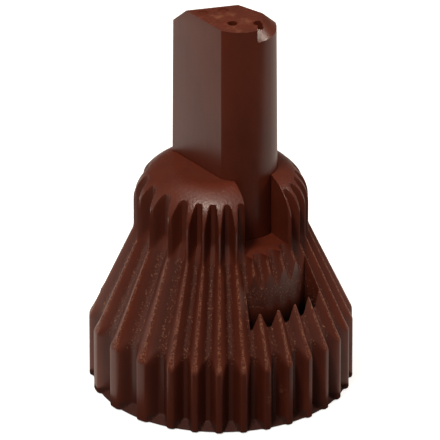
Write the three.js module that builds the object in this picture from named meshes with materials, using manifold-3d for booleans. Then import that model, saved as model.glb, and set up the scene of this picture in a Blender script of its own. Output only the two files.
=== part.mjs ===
// Pin insulator: a fluted bell whose domed collar holds a tall D-section post.
// Millimetres, +Z up. The origin is the centre of the bell's bottom rim.
// The collar's slot opens roughly towards -Y and the post's wide side flat faces -X.

import * as THREE from 'three';
import { mergeVertices } from 'three/addons/utils/BufferGeometryUtils.js';
import Module from 'manifold-3d';

const wasm = await Module();
wasm.setup();

// ---------------------------------------------------------------- driving dimensions

// Clearances
const SLIDE_CLEARANCE = 0.3; // all round the post where it passes through the collar
const SEAT_CLEARANCE = 0.3; // between faces that rest on each other
const CUT_MARGIN = 1; // how far a cutter runs past the surface it opens

// Bell, outside
const SKIRT_RADIUS = 22; // over the rib crests
const SKIRT_HEIGHT = 11; // upright fluted wall
const CONE_HEIGHT = 16; // from the upright wall up to the collar
const CONE_TOP_RADIUS = 14.7;
const COLLAR_RADIUS = 14.5;
const COLLAR_WALL_HEIGHT = 5.2;
const DOME_RADIUS = 6.9; // rounding from the collar's wall to its flat crown
const DOME_STEPS = 8;

// Flutes
const FINE_RIB_COUNT = 12; // close ribs, in one group centred on -Y
const FINE_PITCH = THREE.MathUtils.degToRad(10.8);
const FIRST_SIDE_PITCH = THREE.MathUtils.degToRad(14.5); // from the group to the first side rib
const SIDE_PITCH = THREE.MathUtils.degToRad(17.6);
const SIDE_RIB_COUNT = 4; // on each side of the fine group
const BACK_RIB_COUNT = 3; // evenly spread over what is left at the back
const FINE_CREST_SHARE = 0.22; // share of a pitch taken by the flat rib crest
const SIDE_CREST_SHARE = 0.31;
const FLOOR_SHARE = 0.22; // share of a pitch taken by the flat groove floor
const SKIRT_FLUTE_DEPTH = 2.1;
const CONE_FLUTE_DEPTH = 1.25;
const COLLAR_FLUTE_DEPTH = 2.4;
const RUNOUT_HEIGHT = 1.3; // the grooves ramp out to the rim over this height
const RUNOUT_DEPTH = 0.5; // what is left of a groove at the rim

// Slot in the collar, and the pocket in the cone below it
const SLOT_TURN = THREE.MathUtils.degToRad(-11.4); // plan angle of its centre line, towards -X
const SLOT_OFFSET = 2.3; // how far the centre line passes to the +X side of the axis
const SLOT_THROAT_WIDTH = 5.1; // beside the axis
const SLOT_MOUTH_WIDTH = 8.3; // at the collar's outside
const SLOT_FLOOR_Z = 28.2;
const POCKET_INNER_RADIUS = 15.4;
const POCKET_OUTER_RADIUS = 18;
const POCKET_FLOOR_Z = 12.5;
const POCKET_START_RIB = -2; // in fine pitches from -Y
const POCKET_END_RIB = 2.5;

// Bell, inside
const HOLLOW_MOUTH_RADIUS = 17.6;
const HOLLOW_MOUTH_HEIGHT = 7.5;
const HOLLOW_WAIST_RADIUS = 13.6;
const HOLLOW_WAIST_Z = 11;
const HOLLOW_TOP_RADIUS = 12.3;
const DECK_THICKNESS = 2; // web of material between the hub's chamber and the post's seat
const HUB_WALL = 1.3;
const HUB_BOTTOM_Z = 6.5;
const WEB_COUNT = 4;
const WEB_THICKNESS = 1.6;
const WEB_BOTTOM_Z = 6.5;

// Post
const POST_RISE = 27; // above the collar's crown
const POST_RADIUS = 9.1; // at its top
const POST_DRAFT = THREE.MathUtils.degToRad(0.45);
const SIDE_FLAT_DISTANCE = 3.5; // from the axis to the wide flat on -X
const FRONT_CORNER_DISTANCE = 4.66; // from the axis to the side flat's front edge, along -Y
const FRONT_END_ANGLE = THREE.MathUtils.degToRad(-49); // the tighter front rounding ends here
const POST_ARC_SEGMENTS = 22; // in each of the section's two rounds
const POST_SEAT_DEPTH = 4; // how deep the D-section sits below the slot's floor
const BEVEL_DROP = 2.2; // height of the bevel round the post's top
const BEVEL_RUN = 2.3; // how far that bevel comes in from the edge
const BEVEL_STOP_ANGLE = THREE.MathUtils.degToRad(-37); // the bevel ends on a face square to this
const BEVEL_STOP_DISTANCE = 5.95; // from the axis to that face
const BACK_SLOPE_DISTANCE = 3.05; // from the axis to the top edge of the long back slope
const BACK_SLOPE_ANGLE = THREE.MathUtils.degToRad(157);
const BACK_SLOPE_TILT = THREE.MathUtils.degToRad(43);
const SIDE_SLOPE_DISTANCE = 4.75;
const SIDE_SLOPE_ANGLE = THREE.MathUtils.degToRad(105);
const SIDE_SLOPE_TILT = THREE.MathUtils.degToRad(45);

// Holes in the post's top: two open ones and two shallow ones
const HOLE_RADIUS = 0.85;
const HOLE_DEPTH = 12;
const DIMPLE_DEPTH = 0.5;
const HOLE_PLACES = [
  { x: -0.4, y: -3.6, depth: HOLE_DEPTH },
  { x: 2.86, y: -6.41, depth: HOLE_DEPTH },
  { x: 1.3, y: 1.1, depth: DIMPLE_DEPTH },
  { x: -1.9, y: 2.4, depth: DIMPLE_DEPTH },
];

// Shank below the post, and what holds it in the bell
const SHANK_RADIUS = 3.2;
const SHANK_TAIL = 1.2; // what is left of the shank below the ring's groove
const GASKET_THICKNESS = 0.8; // it has the post's own section
const WASHER_THICKNESS = 1;
const RING_THICKNESS = 0.9;
const RING_BAND = 1.6; // radial width of the retaining ring
const RING_GROOVE_DEPTH = 0.7;
const RING_OPENING = 3.6; // gap between the ring's two ends

// Threaded liner for the mounting pin
const LINER_RADIUS = 6.4;
const LINER_LENGTH = 9.5;
const LINER_BORE_RADIUS = 4.4;
const LINER_FLANGE_LIP = 1.2; // how far the flange stands out from the liner
const LINER_FLANGE_THICKNESS = 1.4;
const THREAD_PITCH = 1.75;
const THREAD_DEPTH = 0.8;
const THREAD_TURNS = 5;

const ROUND_SEGMENTS = 40;

// ---------------------------------------------------------------- worked-out places

const coneTopZ = SKIRT_HEIGHT + CONE_HEIGHT;
const domeStartZ = coneTopZ + COLLAR_WALL_HEIGHT;
const crownZ = domeStartZ + DOME_RADIUS;
const postTopZ = crownZ + POST_RISE;
const postSeatZ = SLOT_FLOOR_Z - POST_SEAT_DEPTH;
const gasketBottomZ = postSeatZ - SEAT_CLEARANCE - GASKET_THICKNESS;
const recessFloorZ = gasketBottomZ - SEAT_CLEARANCE;
const deckZ = recessFloorZ - DECK_THICKNESS;
const washerTopZ = deckZ - SEAT_CLEARANCE;
const ringTopZ = washerTopZ - WASHER_THICKNESS - SEAT_CLEARANCE;
const ringBottomZ = ringTopZ - RING_THICKNESS;
const shankBottomZ = ringBottomZ - SEAT_CLEARANCE - SHANK_TAIL;
const hubBoreRadius = LINER_RADIUS + SLIDE_CLEARANCE;
const hubRadius = hubBoreRadius + HUB_WALL;
const washerRadius = hubBoreRadius - SLIDE_CLEARANCE;
const linerBottomZ = HUB_BOTTOM_Z - SEAT_CLEARANCE;

// ---------------------------------------------------------------- solids and booleans

// A closed three.js geometry as a manifold-3d solid.
function solid(geometry) {
  const bare = geometry.clone();
  bare.deleteAttribute('normal');
  bare.deleteAttribute('uv');
  const merged = mergeVertices(bare, 1e-4);
  return new wasm.Manifold(
    new wasm.Mesh({
      numProp: 3,
      vertProperties: new Float32Array(merged.attributes.position.array),
      triVerts: new Uint32Array(merged.index.array),
    }),
  );
}

// A manifold-3d solid as a three.js geometry.
function geometryOf(body) {
  const mesh = body.getMesh();
  const geometry = new THREE.BufferGeometry();
  geometry.setAttribute('position', new THREE.BufferAttribute(new Float32Array(mesh.vertProperties), 3));
  geometry.setIndex(new THREE.BufferAttribute(new Uint32Array(mesh.triVerts), 1));
  geometry.computeVertexNormals();
  return geometry;
}

// A body turned about an upright axis from a list of [radius, z] points.
function turned(profile, segments = ROUND_SEGMENTS, x = 0, y = 0) {
  const points = profile.map(([radius, z]) => new THREE.Vector2(radius, z));
  return solid(new THREE.LatheGeometry(points, segments).rotateX(Math.PI / 2).translate(x, y, 0));
}

function rod(radius, bottomZ, topZ, segments = ROUND_SEGMENTS) {
  const profile = [[0, bottomZ], [radius, bottomZ], [radius, topZ], [0, topZ]];
  return turned(profile, segments);
}

function tube(innerRadius, outerRadius, bottomZ, topZ) {
  const profile = [
    [innerRadius, bottomZ],
    [outerRadius, bottomZ],
    [outerRadius, topZ],
    [innerRadius, topZ],
    [innerRadius, bottomZ],
  ];
  return turned(profile);
}

// A box given by its two corners, turned about Z by an angle.
function block(low, high, turn = 0) {
  const size = high.map((value, axis) => value - low[axis]);
  const geometry = new THREE.BoxGeometry(...size);
  geometry.translate(...low.map((value, axis) => value + size[axis] / 2));
  return solid(geometry.rotateZ(turn));
}

// Everything above a plane that falls away from the axis. Its level edge lies at a distance from
// the axis in the direction of a plan angle, measured from -Y towards +X.
function aboveSlope(angle, distance, edgeZ, tilt) {
  const reach = 4 * SKIRT_RADIUS;
  const geometry = new THREE.BoxGeometry(reach, reach, reach);
  geometry.translate(0, 0, reach / 2);
  geometry.rotateX(tilt);
  geometry.translate(0, -distance, edgeZ);
  return solid(geometry.rotateZ(angle));
}

function named(name, body, colour, roughness, metalness) {
  const material = new THREE.MeshStandardMaterial({ color: colour, roughness, metalness });
  const mesh = new THREE.Mesh(geometryOf(body), material);
  mesh.name = name;
  return mesh;
}

// ---------------------------------------------------------------- fluted outside of the bell

// Plan angles of the rib crests, from -Y towards +X, with the fine group first.
function ribAngles() {
  const fineEnd = ((FINE_RIB_COUNT - 1) / 2) * FINE_PITCH;
  const angles = [];
  for (let rib = 0; rib < FINE_RIB_COUNT; rib += 1) {
    angles.push(rib * FINE_PITCH - fineEnd);
  }
  const sides = [];
  for (let rib = 0; rib < SIDE_RIB_COUNT; rib += 1) {
    sides.push(fineEnd + FIRST_SIDE_PITCH + rib * SIDE_PITCH);
  }
  const lastSide = sides[SIDE_RIB_COUNT - 1];
  const backPitch = (2 * Math.PI - 2 * lastSide) / (BACK_RIB_COUNT + 1);
  const backs = [];
  for (let rib = 1; rib <= BACK_RIB_COUNT; rib += 1) {
    backs.push(lastSide + rib * backPitch);
  }
  const mirrored = sides.map((angle) => 2 * Math.PI - angle).reverse();
  return angles.concat(sides, backs, mirrored);
}

// Where each corner of the fluted section stands: its angle, and whether it is on a groove floor.
function sectionCorners() {
  const angles = ribAngles();
  const corners = [];
  angles.forEach((angle, rib) => {
    const next = rib + 1 < angles.length ? angles[rib + 1] : angles[0] + 2 * Math.PI;
    const pitch = next - angle;
    const fineStart = rib < FINE_RIB_COUNT;
    const fineEnd = rib + 1 < FINE_RIB_COUNT || rib + 1 === angles.length;
    const startCrest = ((fineStart ? FINE_CREST_SHARE : SIDE_CREST_SHARE) / 2) * pitch;
    const endCrest = ((fineEnd ? FINE_CREST_SHARE : SIDE_CREST_SHARE) / 2) * pitch;
    const flank = (pitch - startCrest - endCrest - FLOOR_SHARE * pitch) / 2;
    corners.push({ angle: angle + startCrest, floor: false });
    corners.push({ angle: angle + startCrest + flank, floor: true });
    corners.push({ angle: next - endCrest - flank, floor: true });
    corners.push({ angle: next - endCrest, floor: false });
  });
  return corners;
}

// Radius of the crests and of the groove floors at one height.
function radiiAt(z) {
  const grooveRadius = COLLAR_RADIUS - COLLAR_FLUTE_DEPTH;
  if (z <= SKIRT_HEIGHT) {
    const depth = z < RUNOUT_HEIGHT ? RUNOUT_DEPTH : SKIRT_FLUTE_DEPTH;
    return { crest: SKIRT_RADIUS, floor: SKIRT_RADIUS - depth };
  }
  if (z < coneTopZ) {
    const fall = (SKIRT_RADIUS - CONE_TOP_RADIUS) / CONE_HEIGHT;
    const crest = SKIRT_RADIUS - fall * (z - SKIRT_HEIGHT);
    return { crest, floor: Math.min(SKIRT_RADIUS - SKIRT_FLUTE_DEPTH, crest - CONE_FLUTE_DEPTH) };
  }
  const rise = Math.max(0, z - domeStartZ);
  const inset = DOME_RADIUS - Math.sqrt(Math.max(0, DOME_RADIUS ** 2 - rise ** 2));
  const crest = COLLAR_RADIUS - inset;
  const coneFloor = CONE_TOP_RADIUS - CONE_FLUTE_DEPTH;
  const blend = Math.min(1, (z - coneTopZ) / (COLLAR_WALL_HEIGHT / 2));
  const floor = coneFloor + (grooveRadius - coneFloor) * blend;
  return { crest, floor: Math.min(crest, floor) };
}

// Heights at which the outside changes its slope, from the rim to the crown.
function levels() {
  const coneFall = (SKIRT_RADIUS - CONE_TOP_RADIUS) / CONE_HEIGHT;
  const floorKneeZ = SKIRT_HEIGHT + (SKIRT_FLUTE_DEPTH - CONE_FLUTE_DEPTH) / coneFall;
  const heights = [0, RUNOUT_HEIGHT, SKIRT_HEIGHT, floorKneeZ, coneTopZ - 1e-3, coneTopZ];
  heights.push(coneTopZ + COLLAR_WALL_HEIGHT / 2, domeStartZ);
  for (let step = 1; step <= DOME_STEPS; step += 1) {
    const turn = (step / DOME_STEPS) * (Math.PI / 2);
    heights.push(domeStartZ + DOME_RADIUS * Math.sin(turn));
  }
  return heights;
}

// A lathe whose vertices are moved to the fluted section: one step round for each corner of it.
function flutedBody() {
  const heights = levels();
  const corners = sectionCorners();
  const profile = [new THREE.Vector2(0, 0)];
  heights.forEach((z) => profile.push(new THREE.Vector2(SKIRT_RADIUS, z)));
  profile.push(new THREE.Vector2(0, crownZ));
  const geometry = new THREE.LatheGeometry(profile, corners.length);
  const position = geometry.attributes.position;
  for (let step = 0; step <= corners.length; step += 1) {
    const corner = corners[step % corners.length];
    heights.forEach((z, level) => {
      const radii = radiiAt(z);
      const radius = corner.floor ? radii.floor : radii.crest;
      const vertex = step * profile.length + level + 1;
      position.setXYZ(vertex, radius * Math.sin(corner.angle), z, radius * Math.cos(corner.angle));
    });
  }
  return solid(geometry.rotateX(Math.PI / 2));
}

// ---------------------------------------------------------------- D-section of the post

// The section's front rounding runs from the side flat's front edge to a point of the full
// circle, which it touches there from inside. That settles its radius and its centre.
const frontEnd = new THREE.Vector2(Math.cos(FRONT_END_ANGLE), Math.sin(FRONT_END_ANGLE));
const frontCorner = new THREE.Vector2(-SIDE_FLAT_DISTANCE, -FRONT_CORNER_DISTANCE);
const frontChord = frontEnd.clone().multiplyScalar(POST_RADIUS).distanceTo(frontCorner);
const frontRadius = frontChord ** 2 / (2 * (POST_RADIUS - frontCorner.dot(frontEnd)));
const frontX = (POST_RADIUS - frontRadius) * frontEnd.x;
const frontY = (POST_RADIUS - frontRadius) * frontEnd.y;

// The section grown by a clearance: the front rounding, the full circle and the side flat.
function postShape(clearance) {
  const radius = POST_RADIUS + clearance;
  const front = frontRadius + clearance;
  const side = SIDE_FLAT_DISTANCE + clearance;
  const frontStart = -Math.acos((-side - frontX) / front);
  const shape = new THREE.Shape();
  shape.absarc(frontX, frontY, front, frontStart, FRONT_END_ANGLE, false);
  shape.absarc(0, 0, radius, FRONT_END_ANGLE, Math.acos(-side / radius), false);
  shape.closePath();
  return shape;
}

// The section drawn up between two heights, growing downwards by the draft.
function postPrism(clearance, bottomZ, topZ) {
  const options = { depth: topZ - bottomZ, bevelEnabled: false, curveSegments: POST_ARC_SEGMENTS };
  const geometry = new THREE.ExtrudeGeometry(postShape(clearance), options);
  geometry.translate(0, 0, bottomZ);
  const position = geometry.attributes.position;
  for (let vertex = 0; vertex < position.count; vertex += 1) {
    const z = position.getZ(vertex);
    const growth = 1 + ((postTopZ - z) * Math.tan(POST_DRAFT)) / POST_RADIUS;
    position.setXY(vertex, position.getX(vertex) * growth, position.getY(vertex) * growth);
  }
  return solid(geometry);
}

// ---------------------------------------------------------------- bell

function bellHollow() {
  const room = turned([
    [0, -CUT_MARGIN],
    [HOLLOW_MOUTH_RADIUS, -CUT_MARGIN],
    [HOLLOW_MOUTH_RADIUS, HOLLOW_MOUTH_HEIGHT],
    [HOLLOW_WAIST_RADIUS, HOLLOW_WAIST_Z],
    [HOLLOW_TOP_RADIUS, deckZ],
    [0, deckZ],
  ]);
  let kept = rod(hubRadius, HUB_BOTTOM_Z, crownZ);
  const reach = SKIRT_RADIUS - SKIRT_FLUTE_DEPTH;
  for (let web = 0; web < WEB_COUNT; web += 1) {
    const turn = ((web + 0.5) / WEB_COUNT) * 2 * Math.PI;
    const low = [-WEB_THICKNESS / 2, 0, WEB_BOTTOM_Z];
    kept = kept.add(block(low, [WEB_THICKNESS / 2, reach, crownZ], turn));
  }
  return room.subtract(kept);
}

// The slot is a wedge, open at the top, that widens from the axis outwards.
function slotCutter() {
  const flare = (SLOT_MOUTH_WIDTH - SLOT_THROAT_WIDTH) / 2 / COLLAR_RADIUS;
  const throat = SLOT_THROAT_WIDTH / 2;
  const mouth = throat + flare * SKIRT_RADIUS;
  const shape = new THREE.Shape([
    new THREE.Vector2(SLOT_OFFSET - throat, 0),
    new THREE.Vector2(SLOT_OFFSET - mouth, -SKIRT_RADIUS),
    new THREE.Vector2(SLOT_OFFSET + mouth, -SKIRT_RADIUS),
    new THREE.Vector2(SLOT_OFFSET + throat, 0),
  ]);
  const options = { depth: crownZ + CUT_MARGIN - SLOT_FLOOR_Z, bevelEnabled: false };
  const geometry = new THREE.ExtrudeGeometry(shape, options).translate(0, 0, SLOT_FLOOR_Z);
  return solid(geometry.rotateZ(SLOT_TURN));
}

// The pocket is a sector of a tube, cut straight down into the cone.
function pocketCutter() {
  const top = coneTopZ - SEAT_CLEARANCE;
  const start = POCKET_START_RIB * FINE_PITCH - Math.PI / 2;
  const end = POCKET_END_RIB * FINE_PITCH - Math.PI / 2;
  const shape = new THREE.Shape();
  shape.absarc(0, 0, POCKET_OUTER_RADIUS, start, end, false);
  shape.absarc(0, 0, POCKET_INNER_RADIUS, end, start, true);
  shape.closePath();
  const options = { depth: top - POCKET_FLOOR_Z, bevelEnabled: false, curveSegments: 12 };
  return solid(new THREE.ExtrudeGeometry(shape, options).translate(0, 0, POCKET_FLOOR_Z));
}

function bellShell() {
  return flutedBody()
    .subtract(bellHollow())
    .subtract(rod(hubBoreRadius, 0, deckZ))
    .subtract(rod(SHANK_RADIUS + SLIDE_CLEARANCE, 0, recessFloorZ + CUT_MARGIN))
    .subtract(postPrism(SLIDE_CLEARANCE, recessFloorZ, crownZ + CUT_MARGIN))
    .subtract(slotCutter())
    .subtract(pocketCutter());
}

// ---------------------------------------------------------------- post

// What the bevel takes from a round edge of the post's top, about that edge's own centre.
function bevelRing(radius, x, y) {
  const outer = radius + CUT_MARGIN;
  const slope = BEVEL_DROP / BEVEL_RUN;
  const rimZ = postTopZ - BEVEL_DROP - slope * CUT_MARGIN;
  const innerRadius = radius - BEVEL_RUN - CUT_MARGIN / slope;
  const profile = [
    [innerRadius, postTopZ + CUT_MARGIN],
    [outer, rimZ],
    [outer, postTopZ + CUT_MARGIN],
    [innerRadius, postTopZ + CUT_MARGIN],
  ];
  return turned(profile, 2 * ROUND_SEGMENTS, x, y);
}

// The bevel round the post's top, which stops on an upright face at the front.
function topBevel() {
  const reach = 3 * POST_RADIUS;
  const top = postTopZ + 2 * CUT_MARGIN;
  const roundPart = block([-reach, 0, 0], [reach, reach, top], FRONT_END_ANGLE);
  const kept = block([BEVEL_STOP_DISTANCE, -reach, 0], [reach, reach, top], BEVEL_STOP_ANGLE);
  return bevelRing(frontRadius, frontX, frontY)
    .subtract(roundPart)
    .add(bevelRing(POST_RADIUS, 0, 0).intersect(roundPart))
    .intersect(kept);
}

function topHoles() {
  const cutters = HOLE_PLACES.map(({ x, y, depth }) => {
    const geometry = new THREE.CylinderGeometry(HOLE_RADIUS, HOLE_RADIUS, depth + CUT_MARGIN, 16);
    geometry.rotateX(Math.PI / 2);
    return solid(geometry.translate(x, y, postTopZ + (CUT_MARGIN - depth) / 2));
  });
  return cutters.reduce((all, cutter) => all.add(cutter));
}

function linePost() {
  const groove = tube(SHANK_RADIUS - RING_GROOVE_DEPTH, SHANK_RADIUS + CUT_MARGIN,
    ringBottomZ - SEAT_CLEARANCE, ringTopZ + SEAT_CLEARANCE);
  const shank = rod(SHANK_RADIUS, shankBottomZ, postSeatZ + CUT_MARGIN).subtract(groove);
  return postPrism(0, postSeatZ, postTopZ)
    .subtract(topBevel())
    .subtract(aboveSlope(BACK_SLOPE_ANGLE, BACK_SLOPE_DISTANCE, postTopZ, BACK_SLOPE_TILT))
    .subtract(aboveSlope(SIDE_SLOPE_ANGLE, SIDE_SLOPE_DISTANCE, postTopZ, SIDE_SLOPE_TILT))
    .subtract(topHoles())
    .add(shank);
}

// ---------------------------------------------------------------- parts held inside

function postGasket() {
  return postPrism(0, gasketBottomZ, gasketBottomZ + GASKET_THICKNESS)
    .subtract(rod(SHANK_RADIUS + SLIDE_CLEARANCE, 0, crownZ));
}

function postWasher() {
  return tube(SHANK_RADIUS + SLIDE_CLEARANCE, washerRadius, washerTopZ - WASHER_THICKNESS, washerTopZ);
}

// An open ring that snaps into the shank's groove.
function retainingRing() {
  const innerRadius = SHANK_RADIUS - RING_GROOVE_DEPTH + SLIDE_CLEARANCE;
  const band = tube(innerRadius, innerRadius + RING_BAND, ringBottomZ, ringTopZ);
  const low = [-RING_OPENING / 2, 0, ringBottomZ - CUT_MARGIN];
  return band.subtract(block(low, [RING_OPENING / 2, SKIRT_RADIUS, ringTopZ + CUT_MARGIN]));
}

// The liner's bore carries thread ridges, drawn as rings one pitch apart.
function pinLiner() {
  const flangeBottomZ = linerBottomZ - LINER_FLANGE_THICKNESS;
  const flangeRadius = LINER_RADIUS + LINER_FLANGE_LIP;
  const topZ = linerBottomZ + LINER_LENGTH;
  const body = turned([
    [LINER_BORE_RADIUS, flangeBottomZ],
    [flangeRadius, flangeBottomZ],
    [flangeRadius, linerBottomZ],
    [LINER_RADIUS, linerBottomZ],
    [LINER_RADIUS, topZ],
    [LINER_BORE_RADIUS, topZ],
    [LINER_BORE_RADIUS, flangeBottomZ],
  ]);
  const firstZ = (flangeBottomZ + topZ - (THREAD_TURNS - 1) * THREAD_PITCH) / 2;
  let threaded = body;
  for (let turn = 0; turn < THREAD_TURNS; turn += 1) {
    const z = firstZ + turn * THREAD_PITCH;
    const half = THREAD_PITCH / 2 - THREAD_DEPTH / 4;
    const groove = turned([
      [0, z - half],
      [LINER_BORE_RADIUS, z - half],
      [LINER_BORE_RADIUS + THREAD_DEPTH, z],
      [LINER_BORE_RADIUS, z + half],
      [0, z + half],
    ]);
    threaded = threaded.subtract(groove);
  }
  return threaded;
}

// ---------------------------------------------------------------- assembly

const insulator = new THREE.Group();
insulator.add(
  named('bell_shell', bellShell(), '#4a2318', 0.42, 0),
  named('line_post', linePost(), '#55281b', 0.38, 0),
  named('post_gasket', postGasket(), '#1c1b1a', 0.85, 0),
  named('post_washer', postWasher(), '#b9bbbd', 0.35, 1),
  named('retaining_ring', retainingRing(), '#8d9093', 0.4, 1),
  named('pin_liner', pinLiner(), '#c9c3b4', 0.5, 0),
);

export default insulator;
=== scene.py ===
import math

import bpy
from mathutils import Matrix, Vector


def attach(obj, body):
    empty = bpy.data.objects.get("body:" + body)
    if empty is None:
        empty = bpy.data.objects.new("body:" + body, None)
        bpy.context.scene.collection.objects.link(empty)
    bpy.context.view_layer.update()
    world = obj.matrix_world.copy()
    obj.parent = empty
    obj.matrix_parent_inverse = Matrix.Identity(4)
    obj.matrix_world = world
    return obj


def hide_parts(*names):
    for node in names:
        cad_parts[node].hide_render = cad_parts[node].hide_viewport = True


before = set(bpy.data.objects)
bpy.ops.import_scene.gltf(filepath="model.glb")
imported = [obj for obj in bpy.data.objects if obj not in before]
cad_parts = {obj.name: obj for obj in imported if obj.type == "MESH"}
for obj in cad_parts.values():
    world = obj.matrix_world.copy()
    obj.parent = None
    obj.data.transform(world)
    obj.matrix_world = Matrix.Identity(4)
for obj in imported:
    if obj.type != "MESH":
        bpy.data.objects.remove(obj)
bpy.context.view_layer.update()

MM = 0.001

# ------------------------------------------------------------------ sizes, in millimetres

# The bell's outside
SKIRT_RADIUS = 21.94  # just inside the frame's skirt
SKIRT_TOP = 11.0
CONE_TOP = 27.0
CONE_TOP_RADIUS = 14.7
COLLAR_RADIUS = 14.5
DOME_START = 32.2
DOME_RADIUS = 6.9
CROWN = 39.1

# How deep the grooves are, and the ramp that closes them at the rim
SKIRT_FLUTE = 2.1
CONE_FLUTE = 1.25
COLLAR_FLUTE = 2.4
RUNOUT_HEIGHT = 1.3
RUNOUT_DEPTH = 0.5

# Where the ribs stand, and the share of a pitch that a crest or a groove's floor takes
FINE_RIBS = 12
FINE_PITCH = math.radians(10.8)
FIRST_SIDE_PITCH = math.radians(14.5)
SIDE_PITCH = math.radians(17.6)
SIDE_RIBS = 4
BACK_RIBS = 3
FINE_CREST = 0.22
SIDE_CREST = 0.31
FLOOR_SHARE = 0.22
NARROW_CREST = 0.09

# The slot in the collar and the pocket below it
SLOT_TURN = math.radians(-11.4)
SLOT_OFFSET = 2.3
SLOT_THROAT = 5.1
SLOT_MOUTH = 8.3
SLOT_FLOOR = 28.2
POCKET_INNER = 15.4
POCKET_OUTER = 18.0
POCKET_FLOOR = 12.5

# The post
POST_TOP = 66.1
POST_FOOT = 24.2
POST_RADIUS = 9.1
POST_DRAFT = math.radians(0.45)
SIDE_FLAT = 3.5
FRONT_RADIUS = 6.0
FRONT_END = math.radians(-49)
FRONT_X = (POST_RADIUS - FRONT_RADIUS) * math.cos(FRONT_END)
FRONT_Y = (POST_RADIUS - FRONT_RADIUS) * math.sin(FRONT_END)
BEVEL_DROP = 2.2
BEVEL_RUN = 2.3
BEVEL_STOP = 5.95
BEVEL_STOP_ANGLE = math.radians(-37)
EDGE_ROUNDING = 0.22
TOP_CUTS = ((157, 3.05, 43), (105, 4.75, 45))  # direction, distance from the axis, tilt
HOLE_RADIUS = 0.85
TOP_HOLES = ((-0.4, -3.6, 12), (3.05, -6.05, 12), (1.3, 1.1, 0.12), (-1.9, 2.4, 0.12))  # x, y, depth
SEEN_GAP = 0.07  # between the post and the collar

# The post's shank and the bell's inside
SHANK_RADIUS = 3.2
SHANK_GAP = 0.3
RING_GROOVE_BOTTOM = 18.0
RING_GROOVE_TOP = 19.5
RING_GROOVE_DEPTH = 0.7
RECESS_FLOOR = 22.8
DECK = 20.8
SHANK_END = 16.8
HUB_BORE = 6.7
HUB_RADIUS = 8.0
HUB_BOTTOM = 6.5
WEB_BOTTOM = 6.5
WEB_THICKNESS = 1.6

# The liner
LINER_BOTTOM = 4.8
LINER_SHOULDER = 6.2
LINER_TOP = 15.7
LINER_RADIUS = 6.4
LINER_FLANGE = 7.6
LINER_BORE = 4.4
THREAD_PITCH = 1.75
THREAD_DEPTH = 0.8
THREAD_TURNS = 5

# ------------------------------------------------------------------ hand tools


def deselect():
    if bpy.context.object and bpy.context.object.mode == "EDIT":
        bpy.ops.object.mode_set(mode="OBJECT")
    bpy.ops.object.select_all(action="DESELECT")


def pick(piece):
    deselect()
    piece.select_set(True)
    bpy.context.view_layer.objects.active = piece
    return piece


def name_piece(name):
    piece = bpy.context.object
    piece.name = name
    piece.data.name = name
    return piece


def settle(piece):
    """Puts the object at the origin, unturned and unscaled, with its place in its mesh."""
    pick(piece)
    bpy.ops.object.transform_apply(location=True, rotation=True, scale=True)
    return piece


def rod(name, radius, bottom, top, sides=96, top_radius=None, at=(0, 0)):
    """An upright round bar or a truncated cone, in millimetres."""
    deselect()
    bpy.ops.mesh.primitive_cone_add(
        vertices=sides,
        radius1=radius * MM,
        radius2=(radius if top_radius is None else top_radius) * MM,
        depth=(top - bottom) * MM,
        location=(at[0] * MM, at[1] * MM, (top + bottom) / 2 * MM),
    )
    return settle(name_piece(name))


def brick(name, low, high, turn=0.0):
    """A box from its low and high corners, in millimetres, turned about the bell's axis."""
    deselect()
    middle = [(a + b) / 2 * MM for a, b in zip(low, high)]
    bpy.ops.mesh.primitive_cube_add(size=1, location=middle)
    piece = name_piece(name)
    piece.scale = [(b - a) * MM for a, b in zip(low, high)]
    settle(piece)
    if turn:
        piece.rotation_euler = (0, 0, turn)
        settle(piece)
    return piece


def slice_away(piece, point, normal):
    """Cuts a piece with a plane, throws away the side that the normal points to and closes the cut."""
    pick(piece)
    bpy.ops.object.mode_set(mode="EDIT")
    bpy.ops.mesh.select_all(action="SELECT")
    bpy.ops.mesh.bisect(
        plane_co=[value * MM for value in point],
        plane_no=normal,
        use_fill=True,
        clear_outer=True,
        threshold=1e-7,
    )
    bpy.ops.object.mode_set(mode="OBJECT")
    return piece


def finish_with(piece, kind, **settings):
    """Adds a modifier and applies it at once."""
    pick(piece)
    modifier = piece.modifiers.new(kind.title(), kind)
    for key, value in settings.items():
        setattr(modifier, key, value)
    bpy.ops.object.modifier_apply(modifier=modifier.name)
    return piece


def carve(piece, tool, how="DIFFERENCE"):
    finish_with(piece, "BOOLEAN", object=tool, operation=how, solver="MANIFOLD")
    bpy.data.objects.remove(tool)
    return piece


def drawn_up(name, outline, bottom, top):
    """An upright solid from an outline of (x, y) points, in millimetres."""
    deselect()
    bpy.ops.mesh.primitive_circle_add(vertices=len(outline), radius=1, fill_type="NGON")
    piece = name_piece(name)
    for vertex, (x, y) in zip(piece.data.vertices, outline):
        vertex.co = (x * MM, y * MM, bottom * MM)
    bpy.ops.object.mode_set(mode="EDIT")
    bpy.ops.mesh.select_all(action="SELECT")
    rise = (top - bottom) * MM
    bpy.ops.mesh.extrude_region_move(TRANSFORM_OT_translate={"value": (0, 0, rise)})
    bpy.ops.mesh.select_all(action="SELECT")
    bpy.ops.mesh.normals_make_consistent(inside=False)
    bpy.ops.object.mode_set(mode="OBJECT")
    return piece


def arc(x, y, radius, start, end, steps):
    """Points on an arc, angles measured from +X."""
    angles = [start + (end - start) * step / steps for step in range(steps + 1)]
    return [(x + radius * math.cos(angle), y + radius * math.sin(angle)) for angle in angles]


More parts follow.
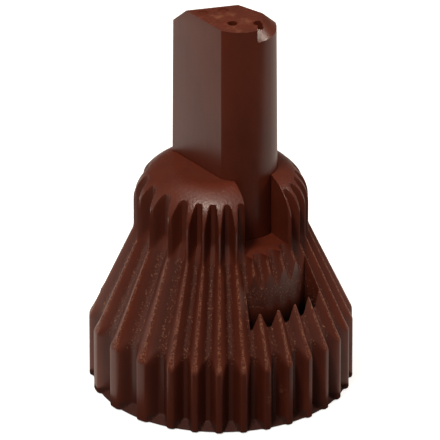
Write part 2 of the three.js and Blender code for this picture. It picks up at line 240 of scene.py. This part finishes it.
def turned(name, profile, steps=96):
    """A closed profile of (radius, height) points in millimetres, spun about the bell's axis."""
    deselect()
    bpy.ops.mesh.primitive_plane_add(size=1)
    piece = name_piece(name)
    bpy.ops.object.mode_set(mode="EDIT")
    bpy.ops.mesh.delete(type="VERT")
    bpy.ops.object.mode_set(mode="OBJECT")
    piece.data.from_pydata(
        [(radius * MM, 0, height * MM) for radius, height in profile],
        [(i, (i + 1) % len(profile)) for i in range(len(profile))],
        [],
    )
    pick(piece)
    bpy.ops.object.mode_set(mode="EDIT")
    bpy.ops.mesh.select_all(action="SELECT")
    bpy.ops.mesh.spin(steps=steps, angle=math.tau, center=(0, 0, 0), axis=(0, 0, 1))
    bpy.ops.mesh.select_all(action="SELECT")
    bpy.ops.mesh.remove_doubles(threshold=2e-6)
    bpy.ops.mesh.dissolve_degenerate(threshold=1e-7)
    bpy.ops.mesh.select_all(action="SELECT")
    bpy.ops.mesh.normals_make_consistent(inside=False)
    bpy.ops.object.mode_set(mode="OBJECT")
    return settle(piece)


def smooth(piece, degrees=32):
    pick(piece)
    bpy.ops.object.shade_smooth_by_angle(angle=math.radians(degrees))
    return piece


# ------------------------------------------------------------------ the bell's fluted outside


def soft_ramp(value, blend):
    """Rises from 0 with slope 1 after 0, rounded over plus and minus blend."""
    if value <= -blend:
        return 0.0
    if value >= blend:
        return value
    return (value + blend) ** 2 / (4 * blend)


def soft_least(first, second, blend):
    return first - soft_ramp(first - second, blend)


def soft_most(first, second, blend):
    return first + soft_ramp(second - first, blend)


def rib_angles():
    """Where each rib's crest stands: the fine group, one side, the back and the other side."""
    fine_end = (FINE_RIBS - 1) / 2 * FINE_PITCH
    angles = [rib * FINE_PITCH - fine_end for rib in range(FINE_RIBS)]
    sides = [fine_end + FIRST_SIDE_PITCH + rib * SIDE_PITCH for rib in range(SIDE_RIBS)]
    back_pitch = (math.tau - 2 * sides[-1]) / (BACK_RIBS + 1)
    backs = [sides[-1] + (rib + 1) * back_pitch for rib in range(BACK_RIBS)]
    return angles + sides + backs + [math.tau - angle for angle in reversed(sides)]


def flute_stations():
    """Every angle that has a line of vertices, with how far down its groove it is, from 0 to 1.

    The depth is given twice: where the crests are broad, and where they are narrow.
    """
    angles = rib_angles()
    stations = []
    for rib, start in enumerate(angles):
        end = angles[rib + 1] if rib + 1 < len(angles) else angles[0] + math.tau
        pitch = end - start
        start_fine = rib < FINE_RIBS
        end_fine = rib + 1 < FINE_RIBS or rib + 1 == len(angles)
        start_crest = (FINE_CREST if start_fine else SIDE_CREST) / 2 * pitch
        end_crest = (FINE_CREST if end_fine else SIDE_CREST) / 2 * pitch
        flank = (pitch - start_crest - end_crest - FLOOR_SHARE * pitch) / 2
        round_off = 0.055 * pitch
        corners = (
            start_crest,
            start_crest + flank,
            pitch - end_crest - flank,
            pitch - end_crest,
        )
        steps = [0.0]
        for corner in corners:
            steps += [corner + share * round_off for share in (-1, -0.45, 0, 0.45, 1)]
        steps += [(corners[k] + corners[k + 1]) / 2 for k in range(3)]
        for step in sorted(steps):
            down = step - start_crest
            up = corners[3] - step
            sharper = start_crest if down < up else end_crest
            sharper = max(0.0, sharper - NARROW_CREST / 2 * pitch)
            depths = []
            for gain in (0.0, sharper):
                near = (min(down, up) + gain) / (flank + gain)
                blend = round_off / (flank + gain)
                depths.append(min(1.0, soft_ramp(near, blend) - soft_ramp(near - 1, blend)))
            stations.append((start + step, *depths))
    return stations


def outside_radius(height, broad, narrow):
    """Radius of the bell's outside at a height, from how far down its groove a line of vertices is."""
    onto_cone = min(1, max(0, (height - SKIRT_TOP + 0.2) / 2.4))
    onto_collar = min(1, max(0, (height - 25) / 3))
    depth = broad + (narrow - broad) * (onto_cone - 0.35 * onto_collar)
    depth += ((1 - (1 - depth) ** 2) - depth) * onto_collar
    fall = (SKIRT_RADIUS - CONE_TOP_RADIUS) / (CONE_TOP - SKIRT_TOP)
    cone = SKIRT_RADIUS - fall * (height - SKIRT_TOP)
    if height < 20:
        crest = soft_least(SKIRT_RADIUS, cone, 0.16)
        cone_groove = cone - CONE_FLUTE * depth
        groove = soft_least(SKIRT_RADIUS - SKIRT_FLUTE * depth, cone_groove, 0.16)
        ramp = SKIRT_RADIUS - RUNOUT_DEPTH
        ramp -= (SKIRT_FLUTE - RUNOUT_DEPTH) * height / RUNOUT_HEIGHT
        radius = soft_most(groove, min(ramp, crest), 0.07)
        edge = max(0.0, 0.22 - height)
        return min(radius, crest) - edge * edge / 0.3
    rise = max(0.0, height - DOME_START)
    dome = COLLAR_RADIUS - DOME_RADIUS + math.sqrt(max(0.0, DOME_RADIUS**2 - rise**2))
    wall = COLLAR_RADIUS - COLLAR_FLUTE * depth
    collar = soft_least(dome, wall, 0.1) if depth > 0 else dome
    if height > 31:
        return collar
    return soft_most(collar, cone - CONE_FLUTE * depth, 0.22)


def outside_heights():
    """The levels of the outside, close together where its section bends."""
    heights = [0, 0.05, 0.12, 0.22, 0.4, 0.58, 0.76, 0.94, 1.1, 1.24, 1.38, 1.55, 1.9, 4, 7, 9.5]
    heights += [10.3, 10.6, 10.8, 11, 11.2, 11.4, 11.7, 12.1, 12.5, 12.85, 13.2, 13.6, 14.4]
    heights += [17, 20, 23, 25.2, 26.1, 26.6, 26.9, 27.1, 27.35, 27.7, 28.3, 28.9, 29.3]
    heights += [29.6, 29.9, 30.3, 31, 31.7, 32.2]
    climb = [5, 10, 14, 18, 21, 24, 27, 30, 32.5, 35, 37.5, 40, 42.5, 45, 47, 49, 51, 53, 55]
    climb += [58, 62, 66, 70, 74, 78, 82, 86, 90]
    heights += [DOME_START + DOME_RADIUS * math.sin(math.radians(angle)) for angle in climb]
    return heights


def fluted_body():
    """A ring extruded up level by level, whose vertices then go to the fluted section."""
    stations = flute_stations()
    heights = outside_heights()
    step = MM
    deselect()
    bpy.ops.mesh.primitive_circle_add(vertices=len(stations), radius=1, fill_type="NGON")
    piece = name_piece("bell_outside")
    bpy.ops.object.mode_set(mode="EDIT")
    bpy.ops.mesh.select_all(action="SELECT")
    for _ in heights[1:]:
        bpy.ops.mesh.extrude_region_move(TRANSFORM_OT_translate={"value": (0, 0, step)})
    bpy.ops.object.mode_set(mode="OBJECT")
    count = len(stations)
    for vertex in piece.data.vertices:
        turn = math.atan2(vertex.co.y, vertex.co.x) / math.tau
        angle, broad, narrow = stations[round(turn * count) % count]
        height = heights[round(vertex.co.z / step)]
        radius = outside_radius(height, broad, narrow)
        vertex.co = (
            radius * math.sin(angle) * MM,
            -radius * math.cos(angle) * MM,
            height * MM,
        )
    pick(piece)
    bpy.ops.object.mode_set(mode="EDIT")
    bpy.ops.mesh.select_all(action="SELECT")
    bpy.ops.mesh.normals_make_consistent(inside=False)
    bpy.ops.object.mode_set(mode="OBJECT")
    return piece


# ------------------------------------------------------------------ the post's D-section


def post_outline(gap):
    """The section grown by a gap: the front rounding, the full circle and the side flat."""
    side = SIDE_FLAT + gap
    front_start = -math.acos((-side - FRONT_X) / (FRONT_RADIUS + gap))
    round_end = math.acos(-side / (POST_RADIUS + gap))
    front = arc(FRONT_X, FRONT_Y, FRONT_RADIUS + gap, front_start, FRONT_END, 56)
    return front[:-1] + arc(0, 0, POST_RADIUS + gap, FRONT_END, round_end, 110)


def post_prism(name, gap, bottom, top):
    """The drafted D-section between two heights."""
    piece = drawn_up(name, post_outline(gap), bottom, top)
    for vertex in piece.data.vertices:
        height = vertex.co.z / MM
        growth = 1 + (POST_TOP - height) * math.tan(POST_DRAFT) / POST_RADIUS
        vertex.co.x *= growth
        vertex.co.y *= growth
    return piece


# ------------------------------------------------------------------ bell


def bell_core():
    """The room inside the bell, less the hub and the webs that stand in it."""
    room = turned(
        "bell_room",
        [
            (0, -1),
            (17.9, -1),
            (17.9, 0.02),
            (17.6, 0.35),
            (17.55, 7.2),
            (17.3, 7.75),
            (14.0, 10.6),
            (13.6, 11.3),
            (12.6, 19.8),
            (12.0, 20.6),
            (11.4, DECK),
            (0, DECK),
        ],
        128,
    )
    hub = turned(
        "bell_hub",
        [
            (0, HUB_BOTTOM),
            (HUB_RADIUS - 0.25, HUB_BOTTOM),
            (HUB_RADIUS, HUB_BOTTOM + 0.25),
            (HUB_RADIUS + 0.25, 19.6),
            (HUB_RADIUS + 0.7, 20.5),
            (HUB_RADIUS + 1.2, 22),
            (0, 22),
        ],
        96,
    )
    carve(room, hub)
    for web in range(4):
        half = WEB_THICKNESS / 2
        wall = brick("bell_web", (-half, 5, WEB_BOTTOM), (half, 19, 24), (web + 0.5) * math.tau / 4)
        finish_with(wall, "BEVEL", width=0.25 * MM, segments=2)
        carve(room, wall)
    return room


def pocket_tool():
    """A sector of a ring, upright, that cuts the pocket into the cone."""
    start = -2 * FINE_PITCH - math.pi / 2
    end = 2.5 * FINE_PITCH - math.pi / 2
    outline = arc(0, 0, POCKET_OUTER, start, end, 24) + arc(0, 0, POCKET_INNER, end, start, 24)
    return drawn_up("pocket_tool", outline, POCKET_FLOOR, CONE_TOP - 0.3)


def slot_tool():
    """A wedge that widens outwards and cuts the collar open in front of the post."""
    throat = SLOT_THROAT / 2
    mouth = throat + (SLOT_MOUTH - SLOT_THROAT) / 2 * SKIRT_RADIUS / COLLAR_RADIUS
    corners = [
        (SLOT_OFFSET - throat, 0),
        (SLOT_OFFSET - mouth, -SKIRT_RADIUS),
        (SLOT_OFFSET + mouth, -SKIRT_RADIUS),
        (SLOT_OFFSET + throat, 0),
    ]
    across, along = math.cos(SLOT_TURN), math.sin(SLOT_TURN)
    outline = [(x * across - y * along, x * along + y * across) for x, y in corners]
    return drawn_up("slot_tool", outline, SLOT_FLOOR, CROWN + 1)


def make_bell():
    bell = fluted_body()
    carve(bell, bell_core())
    carve(bell, rod("hub_bore", HUB_BORE, 0, DECK, 96))
    carve(bell, rod("shank_hole", SHANK_RADIUS + SHANK_GAP, 10, RECESS_FLOOR + 1, 64))
    carve(bell, post_prism("post_recess", SEEN_GAP, RECESS_FLOOR, CROWN + 1))
    carve(bell, slot_tool())
    carve(bell, pocket_tool())
    bell.name = bell.data.name = "bell_moulding"
    return smooth(bell, 20)


# ------------------------------------------------------------------ post


def bevel_ring(name, radius, x, y):
    """What the bevel takes from a round edge of the post's top, about that edge's own centre."""
    slope = BEVEL_DROP / BEVEL_RUN
    ring = rod(name, radius + 1, POST_TOP - 6, POST_TOP + 2, 192, at=(x, y))
    low, high = POST_TOP - 7, POST_TOP + 2.5
    at_low = radius - BEVEL_RUN + (POST_TOP - low) / slope
    at_high = radius - BEVEL_RUN - (high - POST_TOP) / slope
    return carve(ring, rod("bevel_core", at_low, low, high, 192, at_high, (x, y)))


def top_bevel_tool():
    """The bevel's two rings, each on its side of the line where the roundings meet, up to the stop."""
    meet = Vector((-math.sin(FRONT_END), math.cos(FRONT_END), 0))
    stop = Vector((math.cos(BEVEL_STOP_ANGLE), math.sin(BEVEL_STOP_ANGLE), 0))
    front = bevel_ring("bevel_front", FRONT_RADIUS, FRONT_X, FRONT_Y)
    back = bevel_ring("bevel_back", POST_RADIUS, 0, 0)
    for ring, side in ((front, meet), (back, -meet)):
        slice_away(ring, (0, 0, POST_TOP), side)
        slice_away(ring, stop * BEVEL_STOP, -stop)
    return front, back


def make_post():
    post = post_prism("post_moulding", 0, POST_FOOT, POST_TOP)
    for angle, distance, tilt in TOP_CUTS:
        plan = Vector((math.sin(math.radians(angle)), -math.cos(math.radians(angle)), 0))
        normal = plan * math.sin(math.radians(tilt)) + Vector((0, 0, math.cos(math.radians(tilt))))
        slice_away(post, (plan.x * distance, plan.y * distance, POST_TOP), normal)
    for ring in top_bevel_tool():
        carve(post, ring)
    finish_with(
        post,
        "BEVEL",
        width=EDGE_ROUNDING * MM,
        segments=3,
        limit_method="ANGLE",
        angle_limit=math.radians(15),
        use_clamp_overlap=True,
    )
    for x, y, depth in TOP_HOLES:
        hole = rod("post_hole", HOLE_RADIUS, POST_TOP - depth, POST_TOP + 1, 32, at=(x, y))
        carve(post, hole)
    shank = turned(
        "post_shank",
        [
            (0, SHANK_END),
            (SHANK_RADIUS - 0.3, SHANK_END),
            (SHANK_RADIUS, SHANK_END + 0.3),
            (SHANK_RADIUS, RING_GROOVE_BOTTOM),
            (SHANK_RADIUS - RING_GROOVE_DEPTH, RING_GROOVE_BOTTOM),
            (SHANK_RADIUS - RING_GROOVE_DEPTH, RING_GROOVE_TOP),
            (SHANK_RADIUS, RING_GROOVE_TOP),
            (SHANK_RADIUS, POST_FOOT + 1),
            (0, POST_FOOT + 1),
        ],
        64,
    )
    carve(post, shank, "UNION")
    return smooth(post, 30)


# ------------------------------------------------------------------ liner


def make_liner():
    """The threaded liner: a flanged sleeve with V-shaped grooves in its bore."""
    sleeve = turned(
        "liner_sleeve",
        [
            (LINER_BORE, LINER_BOTTOM + 0.5),
            (LINER_BORE + 0.5, LINER_BOTTOM),
            (LINER_FLANGE - 0.25, LINER_BOTTOM),
            (LINER_FLANGE, LINER_BOTTOM + 0.25),
            (LINER_FLANGE, LINER_SHOULDER - 0.25),
            (LINER_FLANGE - 0.25, LINER_SHOULDER),
            (LINER_RADIUS, LINER_SHOULDER),
            (LINER_RADIUS, LINER_TOP - 0.3),
            (LINER_RADIUS - 0.3, LINER_TOP),
            (LINER_BORE + 0.3, LINER_TOP),
            (LINER_BORE, LINER_TOP - 0.3),
        ],
        96,
    )
    first = (LINER_BOTTOM + LINER_TOP - (THREAD_TURNS - 1) * THREAD_PITCH) / 2
    half = THREAD_PITCH / 2 - THREAD_DEPTH / 4
    for turn in range(THREAD_TURNS):
        middle = first + turn * THREAD_PITCH
        groove = [
            (0, middle - half),
            (LINER_BORE, middle - half),
            (LINER_BORE + THREAD_DEPTH * 0.9, middle - 0.08),
            (LINER_BORE + THREAD_DEPTH * 0.9, middle + 0.08),
            (LINER_BORE, middle + half),
            (0, middle + half),
        ]
        carve(sleeve, turned("thread_tool", groove, 96))
    return smooth(sleeve, 32)


bell = make_bell()
post = make_post()
liner = make_liner()

# ------------------------------------------------------------------ shader words


class Wire:
    """A node's output, with arithmetic."""

    def __init__(self, board, socket):
        self.board = board
        self.socket = socket

    def _with(self, other, how, flipped=False):
        pair = (other, self) if flipped else (self, other)
        return self.board.node("ShaderNodeMath", {"operation": how}, {0: pair[0], 1: pair[1]})

    def __add__(self, other):
        return self._with(other, "ADD")

    __radd__ = __add__

    def __mul__(self, other):
        return self._with(other, "MULTIPLY")

    __rmul__ = __mul__

    def __sub__(self, other):
        return self._with(other, "SUBTRACT")

    def __rsub__(self, other):
        return self._with(other, "SUBTRACT", True)

    def __pow__(self, other):
        return self._with(other, "POWER")

    def least(self, other):
        return self._with(other, "MINIMUM")

    def most(self, other):
        return self._with(other, "MAXIMUM")


class Board:
    """A material's nodes."""

    def __init__(self, name):
        self.material = bpy.data.materials.new(name)
        self.material.use_nodes = True
        self.tree = self.material.node_tree
        self.tree.nodes.clear()

    def node(self, kind, settings=None, inputs=None, output=0):
        """A node of any kind, with its settings and the values or wires of its sockets."""
        made = self.tree.nodes.new(kind)
        for key, value in (settings or {}).items():
            setattr(made, key, value)
        for key, value in (inputs or {}).items():
            socket = made.inputs[key]
            if isinstance(value, Wire):
                self.tree.links.new(value.socket, socket)
            else:
                socket.default_value = value
        return Wire(self, made.outputs[output])

    def place(self):
        """Object coordinates, in millimetres."""
        coordinates = self.node("ShaderNodeTexCoord", output="Object")
        values = {0: coordinates, "Scale": 1 / MM}
        return self.node("ShaderNodeVectorMath", {"operation": "SCALE"}, values)

    def axes(self, place):
        split = self.node("ShaderNodeSeparateXYZ", None, {0: place})
        outputs = split.socket.node.outputs
        return Wire(self, outputs[0]), Wire(self, outputs[1]), Wire(self, outputs[2])

    def noise(self, place, scale, detail=3.0, roughness=0.5, stretch=None):
        if stretch:
            place = self.node("ShaderNodeVectorMath", {"operation": "MULTIPLY"}, {0: place, 1: stretch})
        values = {"Vector": place, "Scale": scale, "Detail": detail, "Roughness": roughness}
        return self.node("ShaderNodeTexNoise", None, values)

    def between(self, value, low, high):
        """0 below low, 1 above high, smooth in between."""
        settings = {"interpolation_type": "SMOOTHSTEP"}
        values = {"Value": value, "From Min": low, "From Max": high}
        return self.node("ShaderNodeMapRange", settings, values)

    def blend(self, share, first, second):
        """A mix of two colours, each of them a wire or a plain colour."""
        made = self.node("ShaderNodeMix", {"data_type": "RGBA"}, {0: share}, 2)
        for index, value in ((6, first), (7, second)):
            socket = made.socket.node.inputs[index]
            if isinstance(value, Wire):
                self.tree.links.new(value.socket, socket)
            else:
                socket.default_value = (*value, 1)
        return made

    def bump(self, height, distance, strength=1.0, under=None):
        values = {"Height": height, "Distance": distance * MM, "Strength": strength}
        if under:
            values["Normal"] = under
        return self.node("ShaderNodeBump", None, values)

    def finish(self, **inputs):
        shader = self.node("ShaderNodeBsdfPrincipled", None, inputs)
        out = self.tree.nodes.new("ShaderNodeOutputMaterial")
        self.tree.links.new(shader.socket, out.inputs["Surface"])
        return self.material


# ------------------------------------------------------------------ materials


BROWN_DARK = (0.092, 0.0150, 0.0062)
BROWN_LIGHT = (0.118, 0.0215, 0.0090)
BROWN_DEEP = (0.040, 0.0075, 0.0040)
# Pale brown for wear and for painted highlights on the cone's crests and groove floors
BROWN_WEAR_AND_HIGHLIGHT = (0.330, 0.135, 0.075)
# Black painted shade for the pocket's lower walls and floor
BLACK_PAINTED_SHADE = (0.004, 0.003, 0.003)
SCUFF_SPOTS = ((-18.5, 7.7, 15.0), (-21.4, 2.5, 9.5), (-4.5, -21.2, 6.0))
CONE_FALL = (SKIRT_RADIUS - CONE_TOP_RADIUS) / (CONE_TOP - SKIRT_TOP)


def brown_colour(board, place):
    """The moulding's brown, with its slow clouding."""
    mottle = board.noise(place, 0.09, 4, 0.6)
    streak = board.noise(place, 0.5, 3, 0.55, (1.0, 1.0, 0.25))
    colour = board.blend(board.between(mottle, 0.3, 0.7), BROWN_DARK, BROWN_LIGHT)
    return board.blend(board.between(streak, 0.45, 0.8) * 0.25, colour, BROWN_DEEP)


def scuffs(board, place):
    """Short pale strokes in a few spots where the moulding has been rubbed."""
    near = None
    for spot in SCUFF_SPOTS:
        gap = board.node("ShaderNodeVectorMath", {"operation": "DISTANCE"}, {0: place, 1: spot}, "Value")
        patch = 1 - board.between(gap, 0.8, 2.4)
        near = patch if near is None else near.most(patch)
    strokes = board.noise(place, 0.9, 2, 0.6, (1.0, 1.0, 5.0))
    return near * board.between(strokes, 0.52, 0.6)


def bell_finish():
    """Fluted brown plastic: grainy dome, rough groove floors with painted glints, grooves darkened by
    dirt and painted shade, a pocket black with painted shade, worn crests on the cone with a painted
    highlight.
    """
    board = Board("bell_plastic")
    place = board.place()
    x, y, z = board.axes(place)
    radius = (x * x + y * y) ** 0.5
    cone = (SKIRT_RADIUS - (z - SKIRT_TOP) * CONE_FALL).least(SKIRT_RADIUS)
    rise = (z - DOME_START).most(0.0).least(DOME_RADIUS)
    dome = COLLAR_RADIUS - DOME_RADIUS + (DOME_RADIUS**2 - rise * rise).most(0.0) ** 0.5
    on_collar = board.between(z, CONE_TOP - 0.2, CONE_TOP + 0.6)
    inset = cone + on_collar * (dome - cone) - radius
    outside = 1 - board.between(inset, 2.6, 3.0)
    groove = board.between(inset, 0.25, 1.1) * outside
    floor = board.between(inset, 0.85, 1.15) * outside
    on_cone = board.between(z, SKIRT_TOP - 0.6, SKIRT_TOP + 1.2) * (1 - on_collar)
    on_dome = board.between(z, DOME_START + 0.8, DOME_START + 3.0) * (1 - board.between(inset, 0.3, 0.9))
    speck = board.noise(place, 3.2, 2, 0.7)
    grit = board.noise(place, 1.6, 3, 0.75)
    orange_peel = board.noise(place, 2.1, 2, 0.65)
    # Pale speckle along the cone's crests: wear, with a painted highlight along each ridge
    crest = (1 - board.between(inset, 0.03, 0.22)) * on_cone * board.between(speck, 0.46, 0.62)
    # Painted glints: pale speckle painted on the cone's groove floors as sparkle
    glints = floor * on_cone * board.between(speck, 0.58, 0.68)
    # Toe: the groove ends by the rim, darkened with dirt and painted shade and made rough
    toe = (1 - board.between(z, 1.0, 1.7)) * board.between(inset, 0.1, 0.35) * outside
    # Painted shade: the pocket's lower walls and floor go black, fading out between z 15 and 20.5
    deep_recess_shade = board.between(inset, 1.6, 2.6) * (1 - board.between(z, 15.0, 20.5))
    deep_recess_shade = deep_recess_shade * board.between(z, POCKET_FLOOR - 0.3, POCKET_FLOOR + 0.1)
    pocket = deep_recess_shade * board.between(radius, POCKET_INNER - 0.2, POCKET_INNER - 0.05)
    scuff = scuffs(board, place)
    colour = brown_colour(board, place)
    # Darker grooves, less so on the collar: dirt and painted shade
    colour = board.blend(groove * (0.45 - 0.35 * on_collar), colour, BROWN_DEEP)
    # Dirt and painted shade at the groove ends by the rim
    colour = board.blend(toe * 0.7, colour, BROWN_DEEP)
    # Painted shade: black in the pocket's depths
    colour = board.blend(pocket, colour, BLACK_PAINTED_SHADE)
    # Crest lines and glints: painted highlights, the crests also worn
    colour = board.blend(crest * 0.75 + glints * 0.8, colour, BROWN_WEAR_AND_HIGHLIGHT)
    colour = board.blend(scuff * 0.6, colour, BROWN_WEAR_AND_HIGHLIGHT)
    cloud = board.noise(place, 0.5, 3, 0.55)
    roughness = 0.32 + 0.1 * cloud + 0.06 * groove + 0.15 * scuff + 0.45 * toe
    coarse = board.bump(grit, 0.10, 0.75 * floor * on_cone)
    skin = board.bump(orange_peel, 0.07, 0.08 + 0.75 * on_dome, coarse)
    fine = board.bump(speck, 0.035, 0.1 + 0.3 * on_cone, skin)
    values = {"Base Color": colour, "Roughness": roughness, "Normal": fine, "IOR": 1.5}
    return board.finish(**values)


def post_finish():
    """The post's brown plastic: smooth sides with faint drawn lines and a slightly rough top."""
    board = Board("post_plastic")
    place = board.place()
    z = board.axes(place)[2]
    on_top = board.between(z, POST_TOP - 0.15, POST_TOP - 0.05)
    drawn = board.noise(place, 1.2, 3, 0.6, (1.0, 1.0, 0.06))
    speck = board.noise(place, 3.2, 2, 0.7)
    pale = board.between(board.noise(place, 0.55, 3, 0.6), 0.56, 0.75) * on_top
    scratch = board.between(board.noise(place, 0.8, 2, 0.6, (1.0, 5.0, 1.0)), 0.6, 0.66) * on_top
    colour = brown_colour(board, place)
    colour = board.blend(pale * 0.3 + scratch * 0.2, colour, BROWN_WEAR_AND_HIGHLIGHT)
    roughness = 0.30 + 0.08 * drawn + 0.12 * on_top
    lines = board.bump(drawn, 0.02, 0.35)
    grain = board.bump(speck, 0.03, 0.1 + 0.3 * on_top, lines)
    return board.finish(**{"Base Color": colour, "Roughness": roughness, "Normal": grain, "IOR": 1.5})


def plain_liner():
    """Pale, slightly clouded plastic."""
    board = Board("liner_plastic")
    place = board.place()
    cloud = board.noise(place, 0.4, 4, 0.6)
    grain = board.noise(place, 7, 2, 0.6)
    colour = board.blend(board.between(cloud, 0.3, 0.7), (0.55, 0.52, 0.44), (0.66, 0.63, 0.55))
    bump = board.bump(grain, 0.02, 0.5)
    return board.finish(**{"Base Color": colour, "Roughness": 0.5 + 0.1 * cloud, "Normal": bump})


def steel(name, shade, rough):
    """Brushed metal, its strokes running round the bell's axis."""
    board = Board(name)
    place = board.place()
    brushed = board.noise(place, 1.0, 4, 0.7, (0.6, 0.6, 18.0))
    bright = tuple(min(1, value * 1.2) for value in shade)
    colour = board.blend(board.between(brushed, 0.3, 0.7), shade, bright)
    bump = board.bump(brushed, 0.01, 0.4)
    values = {"Base Color": colour, "Roughness": rough + 0.15 * brushed, "Normal": bump, "Metallic": 1.0}
    return board.finish(**values)


def rubber():
    board = Board("gasket_rubber")
    place = board.place()
    grain = board.noise(place, 4, 4, 0.7)
    colour = board.blend(board.between(grain, 0.3, 0.7), (0.012, 0.012, 0.012), (0.03, 0.029, 0.028))
    bump = board.bump(grain, 0.03, 0.6)
    return board.finish(**{"Base Color": colour, "Roughness": 0.7 + 0.15 * grain, "Normal": bump})


def dress(piece, material):
    piece.data.materials.clear()
    piece.data.materials.append(material)


dress(bell, bell_finish())
dress(post, post_finish())
dress(liner, plain_liner())
for node, material in (
    ("post_washer", steel("washer_steel", (0.5, 0.5, 0.51), 0.28)),
    ("retaining_ring", steel("ring_steel", (0.28, 0.285, 0.29), 0.32)),
    ("post_gasket", rubber()),
):
    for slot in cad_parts[node].material_slots:
        slot.material = material

for piece, node, slot in (
    (bell, "bell_shell", "bell_plastic"),
    (post, "line_post", "post_plastic"),
    (liner, "pin_liner", "liner_plastic"),
):
    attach(piece, "root")
    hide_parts(node)

# ------------------------------------------------------------------ floor, lights and camera

VIEW_TURN = math.radians(37)
RIGHT = Vector((math.cos(VIEW_TURN), -math.sin(VIEW_TURN), 0))
TOWARDS = Vector((-math.sin(VIEW_TURN), -math.cos(VIEW_TURN), 0))
UP = Vector((0, 0, 1))
LAMP_COLOUR = (1.0, 0.89, 0.78)
AIR_COLOUR = (1, 0.88, 0.76, 1)
AIR_STRENGTH = 0.09


def place_light(name, right, towards, up, size, glow, aim=(0, 0, 0.03)):
    """An area light of a size in metres and a brightness, out of the camera's sight."""
    light = bpy.data.lights.new(name, "AREA")
    light.shape = "RECTANGLE"
    light.size, light.size_y = size
    light.energy = glow * math.pi * size[0] * size[1]
    light.color = LAMP_COLOUR
    holder = bpy.data.objects.new(name, light)
    bpy.context.scene.collection.objects.link(holder)
    holder.location = RIGHT * right + TOWARDS * towards + UP * up
    direction = Vector(aim) - holder.location
    holder.rotation_euler = direction.to_track_quat("-Z", "Y").to_euler()
    holder.visible_camera = False
    return holder


def floor_glow(name, right, towards, size, glow):
    """A pale sheet beside the object, lit from elsewhere, which shows in its upright faces."""
    sheet = place_light(name, right, towards, 0.001, size, glow)
    sheet.rotation_euler = (math.pi, 0, -VIEW_TURN)
    return sheet


def paint_floor():
    board = Board("studio_floor")
    place = board.place()
    drift = board.noise(place, 0.004, 2, 0.5)
    colour = board.blend(board.between(drift, 0.3, 0.7), (0.8, 0.8, 0.8), (0.82, 0.82, 0.82))
    glow = {"Emission Color": (1, 1, 1, 1), "Emission Strength": 0.72}
    return board.finish(**{"Base Color": colour, "Roughness": 0.9, **glow})


deselect()
bpy.ops.mesh.primitive_plane_add(size=6, location=(0, 0, -0.0002))
floor = settle(name_piece("studio_floor"))
dress(floor, paint_floor())
floor.visible_glossy = False
floor.visible_diffuse = False

place_light("key_right", 0.46, -0.06, 0.40, (0.12, 0.12), 24)
place_light("top_front", -0.13, 0.25, 0.56, (0.12, 0.05), 110)
place_light("soft_top", -0.1, 0.0, 0.7, (0.5, 0.4), 2.0)
place_light("soft_left", -0.7, -0.1, 0.25, (0.5, 0.6), 0.4)
place_light("fill_front", 0.1, 0.8, 0.3, (0.7, 0.4), 0.4)
floor_glow("glow_left", -0.22, -0.20, (0.4, 0.46), 0.8)
floor_glow("glow_right", 0.22, -0.20, (0.4, 0.46), 0.6)

world = bpy.data.worlds.new("studio_air")
bpy.context.scene.world = world
world.use_nodes = True
air = world.node_tree.nodes["Background"]
air.inputs["Color"].default_value = AIR_COLOUR
air.inputs["Strength"].default_value = AIR_STRENGTH
bpy.context.scene.view_settings.view_transform = "Standard"

DISTANCE = 1.5
ELEVATION = math.radians(27.2)
FRAME_WIDTH = 0.0728  # metres across the view where it is aimed
SENSOR = 36
camera_data = bpy.data.cameras.new("camera")
camera = bpy.data.objects.new("camera", camera_data)
bpy.context.scene.collection.objects.link(camera)
look_at = RIGHT * -0.17 * MM + UP * 28.4 * MM
camera.location = look_at + (TOWARDS * math.cos(ELEVATION) + UP * math.sin(ELEVATION)) * DISTANCE
camera.rotation_euler = (look_at - camera.location).to_track_quat("-Z", "Y").to_euler()
camera_data.sensor_width = SENSOR
camera_data.lens = SENSOR * DISTANCE / FRAME_WIDTH
camera_data.clip_end = 20
bpy.context.scene.camera = camera
